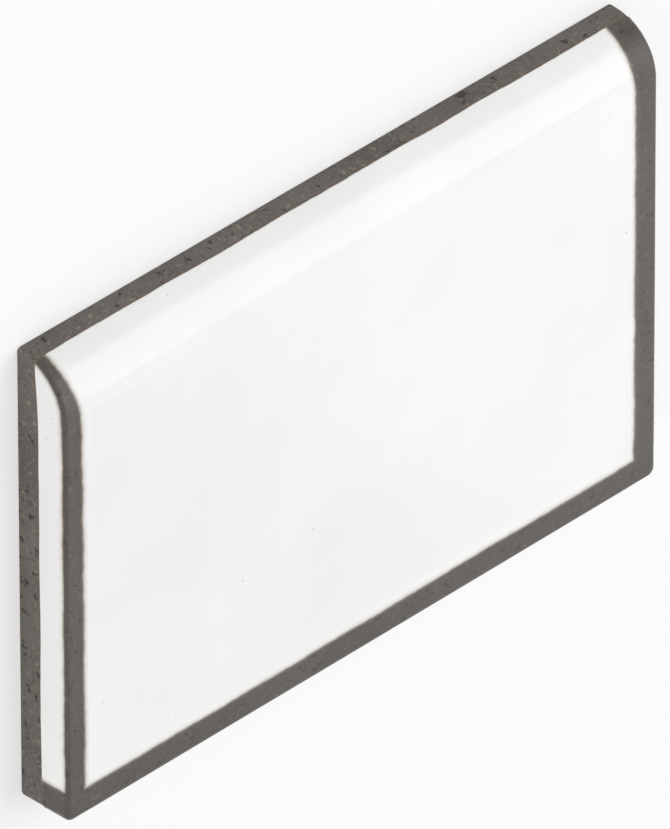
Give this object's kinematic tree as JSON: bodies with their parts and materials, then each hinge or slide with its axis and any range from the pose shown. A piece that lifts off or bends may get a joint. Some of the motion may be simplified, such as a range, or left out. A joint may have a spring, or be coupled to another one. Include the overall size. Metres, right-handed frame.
{
  "type": "bullnose tile",
  "caption": "Rectangular glazed wall tile with a long edge rounded over the full thickness, to finish the edge of a tiled area, and a keyed back for adhesive.",
  "frame": {"origin": "middle of the back, on the plane that the back is bedded on and that the tile lies on", "axes": "+X along the length, -Y towards the bullnose edge, +Z out of the glazed face"},
  "size_m": [0.1524, 0.0984, 0.012],
  "materials": {
    "glazed_stoneware": "gloss white glaze that breaks to the grey-brown stoneware body along every arris; the back is bare stoneware"
  },
  "bodies": {
    "root": {"bullnose_tile": "glazed_stoneware"}
  },
  "joints": []
}
